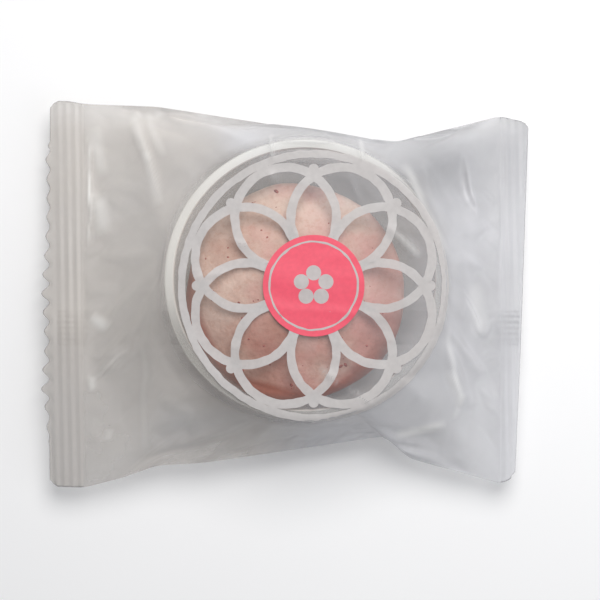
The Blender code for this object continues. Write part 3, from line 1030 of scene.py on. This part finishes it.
# The back seam: the film's two long edges welded face to face between fine lengthwise ridges and
# laid flat under the pack. It runs from cut to cut, through both end seals.
SEAM_Y = -8.0 * MM
SEAM_WIDTH = 8.0 * MM
SEAM_RIDGES = 6
RIDGE_HEIGHT = 0.06 * MM
SEAM_THICKNESS = 0.1 * MM
SEAM_GAP = 0.12 * MM


def strip(mesh, along, wide, place):
    """Adds a strip of along by wide cells whose points place() puts, from shares of its length and width."""
    made = bmesh.ops.create_grid(mesh, x_segments=along, y_segments=wide, size=1.0)["verts"]
    for vertex in made:
        vertex.co = place((vertex.co.x + 1) / 2, (vertex.co.y + 1) / 2)


def press_onto(mesh, target, up, gap):
    """Moves each point straight up or down until it is a gap away from the target's surface."""
    way = Vector((0, 0, 1 if up else -1))
    for vertex in mesh.verts:
        _, place, _, _ = target.ray_cast(Vector((vertex.co.x, vertex.co.y, -way.z * 0.1)), way)
        vertex.co.z = place.z - way.z * gap(vertex.co)


def welded_film():
    """Clear along the pack; hatched where the end jaws pressed the weld's ridges a second time."""
    material, tree, shader = principled("welded film", Roughness=0.4)
    place = own_place(tree)
    axes = add_node(tree, "ShaderNodeSeparateXYZ", Vector=place).outputs
    turns = math.tau * SEAM_RIDGES / SEAM_WIDTH
    ridge = worked(tree, "COSINE", worked(tree, "MULTIPLY", axes["Y"], turns))
    middle = (LEFT_SEAL + RIGHT_SEAL) / 2
    from_middle = worked(tree, "ABSOLUTE", worked(tree, "SUBTRACT", axes["X"], middle))
    seal_start = (RIGHT_SEAL - LEFT_SEAL) / 2
    pressed = ranged(tree, from_middle, seal_start - 1.0 * MM, seal_start + 0.5 * MM)
    lines = ranged(tree, ridge, -1.0, 1.0, 0.0, 0.45)
    tree.links.new(worked(tree, "MULTIPLY_ADD", pressed, lines, 0.06), shader.inputs["Alpha"])
    cloud = clouds(tree, place, 120.0, 2.0)
    tree.links.new(shades(tree, cloud, (0.35, 0.36), (0.65, 0.46)), shader.inputs["Base Color"])
    return material


def make_seam():
    """A thin ridged band, pressed up against the film's underside from just inside one cut to the other."""
    def place(s, t):
        y = SEAM_Y + (t - 0.5) * SEAM_WIDTH
        share = (y - NEAR_FOLD[-2][1]) / (FAR_FOLD[-2][1] - NEAR_FOLD[-2][1])
        right = lerp(RIGHT_CUT_NEAR, RIGHT_CUT_FAR, share) - 0.5 * MM
        return lerp(LEFT_CUT + TOOTH_DEPTH + 0.3 * MM, right, s), y, 0.0

    def gap(place):
        ridge = math.cos(math.tau * SEAM_RIDGES * (place.y - SEAM_Y) / SEAM_WIDTH)
        return SEAM_GAP + RIDGE_HEIGHT * ridge

    mesh = bmesh.new()
    strip(mesh, along=280, wide=SEAM_RIDGES * 4, place=place)
    press_onto(mesh, film, up=True, gap=gap)
    bmesh.ops.solidify(mesh, geom=mesh.faces[:], thickness=SEAM_THICKNESS)
    finished(mesh, "back_seam", welded_film())


make_seam()


# The print: a disc of coral ink on a rosette of interlaced white rings, printed on the film before
# it was folded. It lies on the film over the tray's mouth and follows every wrinkle.
PRINT_CENTRE = (6.3 * MM, 1.7 * MM)
DISC_RADIUS = 11.4 * MM
LINE = 2.0 * MM
RINGS = 8
RING_RADIUS = 11.4 * MM
RING_REACH = 16.4 * MM
BORDER_RADIUS = 29.6 * MM
BORDER_LINE = 1.7 * MM
OUTER_DOT = 1.15 * MM
OUTER_DOT_REACH = 26.2 * MM
MOTIF_RING = 9.9 * MM
MOTIF_LINE = 0.45 * MM
PETALS = 5
PETAL_RADIUS = 1.7 * MM
PETAL_REACH = 2.9 * MM
WAVER = 0.20 * MM
WHITE_INK = (0.57, 0.545, 0.535, 1)
CORAL_INK = (0.84, 0.100, 0.155, 1)

# Heights of the ink above the film: a base, and steps that keep one shape clear of the next.
INK = 0.05 * MM
RING_STEP = 0.02 * MM
BORDER_STEP = 0.04 * MM
DISC_STEP = 0.06 * MM
MOTIF_STEP = 0.09 * MM


def ink(name, colour, alpha):
    """Matt printing ink with slightly uneven cover."""
    material, tree, shader = principled(name, Roughness=0.5, IOR=1.45, Alpha=alpha)
    cover = clouds(tree, own_place(tree), 900.0, 3.0)
    thin = tuple(channel * 0.93 for channel in colour[:3]) + (1,)
    tree.links.new(shades(tree, cover, (0.35, thin), (0.65, colour)), shader.inputs["Base Color"])
    return material


def polar(radius, angle, centre=PRINT_CENTRE):
    """The place at a distance and an angle from a centre, at height 0."""
    return Vector((centre[0] + radius * math.cos(angle), centre[1] + radius * math.sin(angle), 0.0))


def ring(mesh, centre, radius, width, steps, height):
    """Adds a printed ring whose edges waver a little, as ink does on film."""
    def place(s, t):
        angle = math.tau * s
        shift = Vector((0, 0, round(t) * 9))
        waver = noise.noise(polar(radius, angle, centre) * 480 + shift) * WAVER
        return polar(radius + width * (t - 0.5) + waver, angle, centre) + Vector((0, 0, height))

    strip(mesh, along=steps, wide=4, place=place)


def dot(mesh, centre, radius, height, rings=3, steps=24):
    """Adds a round field of ink."""
    pour_in(mesh, turned([(radius * i / rings, height) for i in range(rings + 1)], centre, steps))


def lay_print(mesh, name, material):
    """Lays flat ink shapes on the film, each at its own small height above it."""
    bmesh.ops.remove_doubles(mesh, verts=mesh.verts, dist=2e-6)
    press_onto(mesh, film, up=False, gap=lambda place: INK + place.z)
    finished(mesh, name, material)


def make_print():
    """White rings, dots and a border; the coral disc on them; and a blossom in a ring on the disc."""
    white = ink("white ink", WHITE_INK, 0.88)
    lines = bmesh.new()
    for index in range(RINGS):
        turn = math.tau * (index + 0.5) / RINGS
        middle = polar(RING_REACH, turn)[:2]
        ring(lines, middle, RING_RADIUS, LINE, steps=130, height=index % 2 * RING_STEP)
        dot(lines, polar(OUTER_DOT_REACH, turn + math.pi / RINGS), OUTER_DOT, height=0.0)
    ring(lines, PRINT_CENTRE, BORDER_RADIUS, BORDER_LINE, steps=360, height=BORDER_STEP)
    lay_print(lines, "print_lines", white)
    disc = bmesh.new()
    dot(disc, polar(0, 0), DISC_RADIUS, DISC_STEP, rings=24, steps=96)
    lay_print(disc, "print_disc", ink("coral ink", CORAL_INK, 1.0))
    motif = bmesh.new()
    ring(motif, PRINT_CENTRE, MOTIF_RING, MOTIF_LINE, steps=160, height=MOTIF_STEP)
    for index in range(PETALS):
        petal = polar(PETAL_REACH, math.tau * (index / PETALS + 0.25))
        dot(motif, petal, PETAL_RADIUS, MOTIF_STEP, rings=4, steps=30)
    lay_print(motif, "print_motif", white)


make_print()


# The studio: a plain pale floor, one broad soft lamp above the far right, and a weak one to fill.
# The camera looks straight down, as in the photograph, from far enough away to flatten the view.
VIEW_X = 3.24 * MM
VIEW_Y = -1.5 * MM
VIEW_Z = 8.0 * MM
VIEW_WIDTH = 139.0 * MM
VIEW_DISTANCE = 450.0 * MM
SENSOR = 36.0
FLOOR_REACH = 2.0
SKY_TINT = (0.93, 0.95, 1.0, 1)
SKY_STRENGTH = 0.25


def make_floor():
    """A square of matt, nearly even white."""
    mesh = bmesh.new()
    bmesh.ops.create_grid(mesh, x_segments=1, y_segments=1, size=FLOOR_REACH)
    floor = added(mesh, "floor")
    material, tree, shader = principled("pale floor", Roughness=0.9)
    cloud = clouds(tree, own_place(tree), 20.0, 2.0)
    tree.links.new(shades(tree, cloud, (0.3, 0.945), (0.7, 0.955)), shader.inputs["Base Color"])
    floor.data.materials.append(material)


def add_lamp(name, place, size, power, tint):
    """A round lamp that faces the pack."""
    lamp = bpy.data.lights.new(name, "AREA")
    lamp.shape = "DISK"
    lamp.size = size
    lamp.energy = power
    lamp.color = tint
    holder = bpy.data.objects.new(name, lamp)
    bpy.context.scene.collection.objects.link(holder)
    holder.location = place
    holder.rotation_euler = (-Vector(place)).to_track_quat("-Z", "Y").to_euler()


def make_camera():
    """A camera straight above the pack, with the picture's width set at the pack's height."""
    camera = bpy.data.cameras.new("camera")
    camera.sensor_width = SENSOR
    camera.lens = SENSOR * VIEW_DISTANCE / VIEW_WIDTH
    holder = bpy.data.objects.new("camera", camera)
    bpy.context.scene.collection.objects.link(holder)
    holder.location = (VIEW_X, VIEW_Y, VIEW_Z + VIEW_DISTANCE)
    bpy.context.scene.camera = holder


make_floor()
add_lamp("key", place=(0.06, 0.23, 0.40), size=0.34, power=1.95, tint=(1.0, 0.99, 0.98))
add_lamp("fill", place=(0.45, -0.12, 0.35), size=0.50, power=0.75, tint=(0.95, 0.97, 1.0))
make_camera()
world = bpy.data.worlds.new("studio")
world.use_nodes = True
sky = world.node_tree.nodes["Background"]
sky.inputs["Color"].default_value = SKY_TINT
sky.inputs["Strength"].default_value = SKY_STRENGTH
bpy.context.scene.world = world
bpy.context.scene.view_settings.view_transform = "Standard"
bpy.context.scene.cycles.transparent_max_bounces = 32
